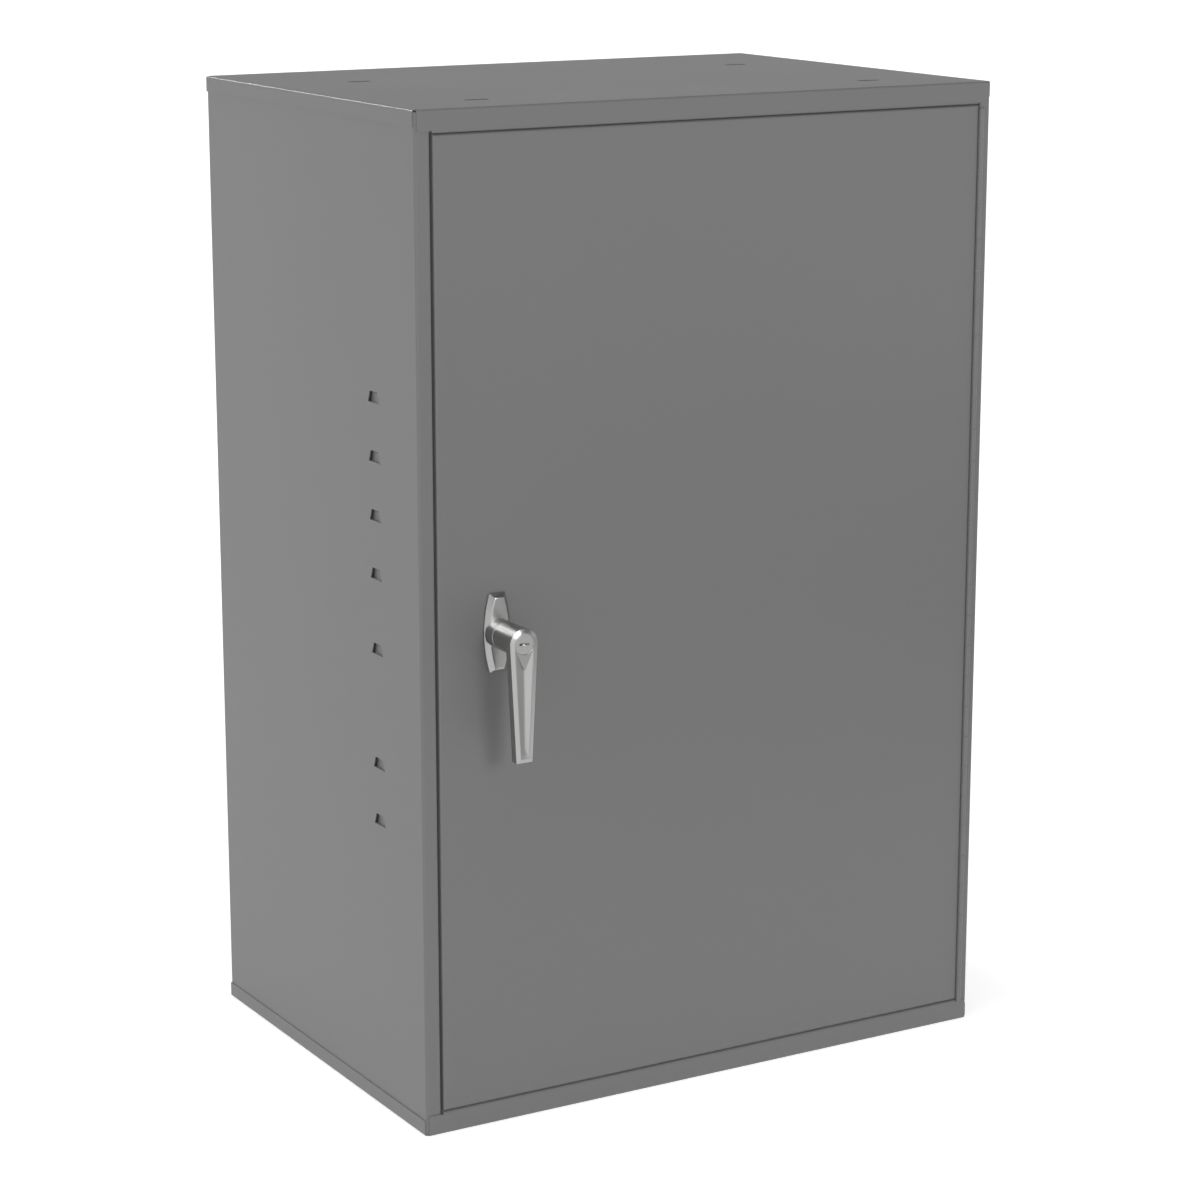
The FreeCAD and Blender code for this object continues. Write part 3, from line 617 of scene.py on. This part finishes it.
weld = stud("weld_print", WELD_RADIUS, WELD_HEIGHT, WELD_CROWN)
low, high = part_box("door_stiffener")
places = weld_rows(low, high, low.y + SHEET, STIFFENER_EDGE_TO_WELD, STIFFENER_WELDS)
set_studs("stiffener_weld_prints", weld, places, "door_stiffener")
low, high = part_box("back_panel")
places = weld_rows(low, high, high.y, BACK_EDGE_TO_WELD, BACK_WELDS)
set_studs("back_weld_prints", weld, places, "back_panel")
bpy.data.objects.remove(weld)

# %% [markdown]
# Just inside the keyway a small domed shutter of polished steel keeps dust out of the lock. It
# is another stud, turned to face the front and squashed to the slot, and it turns with the plug.

# %% Keyway shutter
SHUTTER_RADIUS = 2.0 * MM
SHUTTER_HEIGHT = 1.6 * MM
SHUTTER_CROWN = 0.3
SHUTTER_SQUASH = 0.42
SHUTTER_SETBACK = 1.6 * MM
SHUTTER_DROP = 0.7 * MM

low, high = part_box("lock_plug")
shutter = stud("keyway_shutter", SHUTTER_RADIUS, SHUTTER_HEIGHT, SHUTTER_CROWN)
squashed = Matrix.Diagonal((1, 1, SHUTTER_SQUASH, 1))
shutter.data.transform(Matrix.Rotation(math.pi, 4, "Z") @ squashed)
seat = ((low.x + high.x) / 2, low.y + SHUTTER_SETBACK, (low.z + high.z) / 2 - SHUTTER_DROP)
shutter.data.transform(Matrix.Translation(seat))
shutter.data.materials.append(polished_steel)
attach(shutter, body_of["lock_plug"])
print("shutter", len(shutter.data.polygons), "faces")

# %% [markdown]
# The studio floor is a wide sheet of white paper that should look plain white. More light would
# also brighten the cabinet, so the paper glows a little instead, and only for rays that come
# from the camera, a glossy surface or glass. Light Path tells those rays apart, so the glow is
# seen, directly or mirrored, but sheds no diffuse light, and the paper keeps its shadow.

# %% Floor
FLOOR_SIZE = 80.0
FLOOR_GLOW = 0.3
PAPER_TONE = "#f8f8f8"
PAPER_ROUGHNESS = 0.95
PAPER_SHINE = 0.1

bpy.ops.object.select_all(action="DESELECT")
bpy.ops.mesh.primitive_plane_add(size=FLOOR_SIZE, location=(0, 0, cad_low.z))
floor = bpy.context.object
floor.name = "studio_floor"
paper, tree, shader = new_finish("pale_studio_paper")
shader.inputs["Base Color"].default_value = linear(PAPER_TONE)
shader.inputs["Roughness"].default_value = PAPER_ROUGHNESS
shader.inputs["Specular IOR Level"].default_value = PAPER_SHINE
shader.inputs["Emission Color"].default_value = WHITE
rays = add(tree, "ShaderNodeLightPath").outputs
shown = rays["Is Camera Ray"]
for kind in ("Is Glossy Ray", "Is Transmission Ray"):
    shown = add(tree, "ShaderNodeMath", {0: shown, 1: rays[kind]}, operation="ADD").outputs[0]
glow = add(tree, "ShaderNodeMath", {0: shown, 1: FLOOR_GLOW}, operation="MULTIPLY")
tree.links.new(glow.outputs[0], shader.inputs["Emission Strength"])
floor.data.materials.append(paper)
floor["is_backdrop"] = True
print("floor", FLOOR_SIZE, "m wide at z =", round(cad_low.z, 4))

# %% [markdown]
# Chrome is only as dark as what it mirrors, and in a white studio a handle would lose its shape.
# A grey card stands on the floor, in front and to the right of the handle, and shows in
# reflections alone: the camera doesn't see it, and it gives the paint no diffuse light and no
# shadow. It gives off its own even grey, so its tone is the same whatever the lamps do.

# %% Grey card
CARD_WIDTH = 1.9
CARD_HEIGHT = 0.36
CARD_AZIMUTH = 51
CARD_DISTANCE = 1.15
CARD_LEVEL = 0.45

handle_low, handle_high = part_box("handle_lever")
handle_middle = (handle_low + handle_high) / 2
card_turn = math.radians(CARD_AZIMUTH)
bpy.ops.object.select_all(action="DESELECT")
bpy.ops.mesh.primitive_plane_add(size=1, rotation=(math.radians(90), 0, card_turn))
card = bpy.context.object
card.name = "grey_card"
card.scale = (CARD_WIDTH, CARD_HEIGHT, 1)
card.location = (
    handle_middle.x + CARD_DISTANCE * math.sin(card_turn),
    handle_middle.y - CARD_DISTANCE * math.cos(card_turn),
    cad_low.z + CARD_HEIGHT / 2)
grey, tree, shader = new_finish("grey_card_board")
shader.inputs["Base Color"].default_value = BLACK
shader.inputs["Specular IOR Level"].default_value = 0
shader.inputs["Emission Color"].default_value = WHITE
shader.inputs["Emission Strength"].default_value = CARD_LEVEL
card.data.materials.append(grey)
card.visible_camera = False
card.visible_diffuse = False
card.visible_shadow = False
card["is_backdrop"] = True
print("card", CARD_WIDTH, "by", CARD_HEIGHT, "m,", CARD_DISTANCE, "m from the handle")

# %% [markdown]
# The sky stands for white walls under a dark ceiling. It is white up to a low height and fades to
# a dark grey above that, so upright panels mirror something bright and little light comes from
# straight above. The height of a direction is its Z, the sine of its angle above the horizon.

# %% Sky
WALL_LIGHT = 1.0
CEILING_LIGHT = 0.12
WALL_TOP = math.sin(math.radians(8))
CEILING_START = math.sin(math.radians(17))

world = bpy.data.worlds.new("studio")
bpy.context.scene.world = world
world.use_nodes = True
tree = world.node_tree
direction = add(tree, "ShaderNodeTexCoord").outputs["Generated"]
height = add(tree, "ShaderNodeSeparateXYZ", {"Vector": direction}).outputs["Z"]
level = add(tree, "ShaderNodeMapRange", {
    "Value": height, "From Min": WALL_TOP, "From Max": CEILING_START,
    "To Min": WALL_LIGHT, "To Max": CEILING_LIGHT})
tree.links.new(level.outputs["Result"], tree.nodes["Background"].inputs["Strength"])
tree.nodes["Background"].inputs["Color"].default_value = WHITE
print("sky", WALL_LIGHT, "at the walls and", CEILING_LIGHT, "overhead")

# %% [markdown]
# The lamps are wide suns, which light every height of the cabinet alike. A low one in front is
# the main light on the door, two from the left model the side, and one overhead lights the top.
# A pair on one bearing behind the cabinet draws the bright line along the folds, and a faint one
# from below lifts the faces that look down. The fill, the low light and one of that pair cast no
# shadow, so they reach into the seams round the door, which would be too dark otherwise.

# %% Lamps


def facing(azimuth, elevation):
    """The direction of a bearing; azimuth 0 is in front of the door, negative is to its left."""
    a, e = math.radians(azimuth), math.radians(elevation)
    return Vector((math.sin(a) * math.cos(e), -math.cos(a) * math.cos(e), math.sin(e)))


def sun(name, azimuth, elevation, strength, spread, shadow=True):
    """A distant light that shines from that bearing."""
    back = facing(azimuth, elevation)
    bpy.ops.object.light_add(type="SUN", location=back)
    lamp = bpy.context.object
    lamp.name = name
    lamp.rotation_euler = back.to_track_quat("Z", "Y").to_euler()
    lamp.data.energy = strength
    lamp.data.angle = math.radians(spread)
    lamp.data.use_shadow = shadow
    print(name, strength)


sun("fill_light", azimuth=-60, elevation=38, strength=0.65, spread=30, shadow=False)
sun("left_light", azimuth=-80, elevation=35, strength=0.3, spread=24)
sun("front_light", azimuth=4, elevation=17, strength=0.98, spread=18)
sun("low_light", azimuth=-5, elevation=-13, strength=0.1, spread=14, shadow=False)
sun("overhead_light", azimuth=-90, elevation=86, strength=0.95, spread=40)
sun("edge_light", azimuth=-164, elevation=30, strength=0.3, spread=10)
sun("rim_light", azimuth=-164, elevation=30, strength=1.05, spread=10, shadow=False)

# %% [markdown]
# The camera stands to the left of the door and a little above it, with a short telephoto, which
# keeps the far edges of the cabinet from shrinking much. The picture is shown with the Standard
# view transform, which lays no contrast curve of its own over the colours.

# %% Camera
CAMERA_AZIMUTH = -30.47
CAMERA_ELEVATION = 13.43
CAMERA_DISTANCE = 2.687
CAMERA_LENS = 99.0
CAMERA_AIM = Vector((0.005, 0.0, 0.349))

back = facing(CAMERA_AZIMUTH, CAMERA_ELEVATION)
bpy.ops.object.camera_add(location=CAMERA_AIM + back * CAMERA_DISTANCE)
camera = bpy.context.object
camera.rotation_euler = back.to_track_quat("Z", "Y").to_euler()
camera.data.lens = CAMERA_LENS
bpy.context.scene.camera = camera
bpy.context.scene.view_settings.view_transform = "Standard"
print("camera at", [round(v, 3) for v in camera.location])

# %% [markdown]
# Last, the size of the dressed cabinet is printed, as that of the imported one was at the start,
# so that the two can be compared.

# %% Print the size of the dressed cabinet
low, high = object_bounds()
print("dressed box", [round(v, 4) for v in high - low])
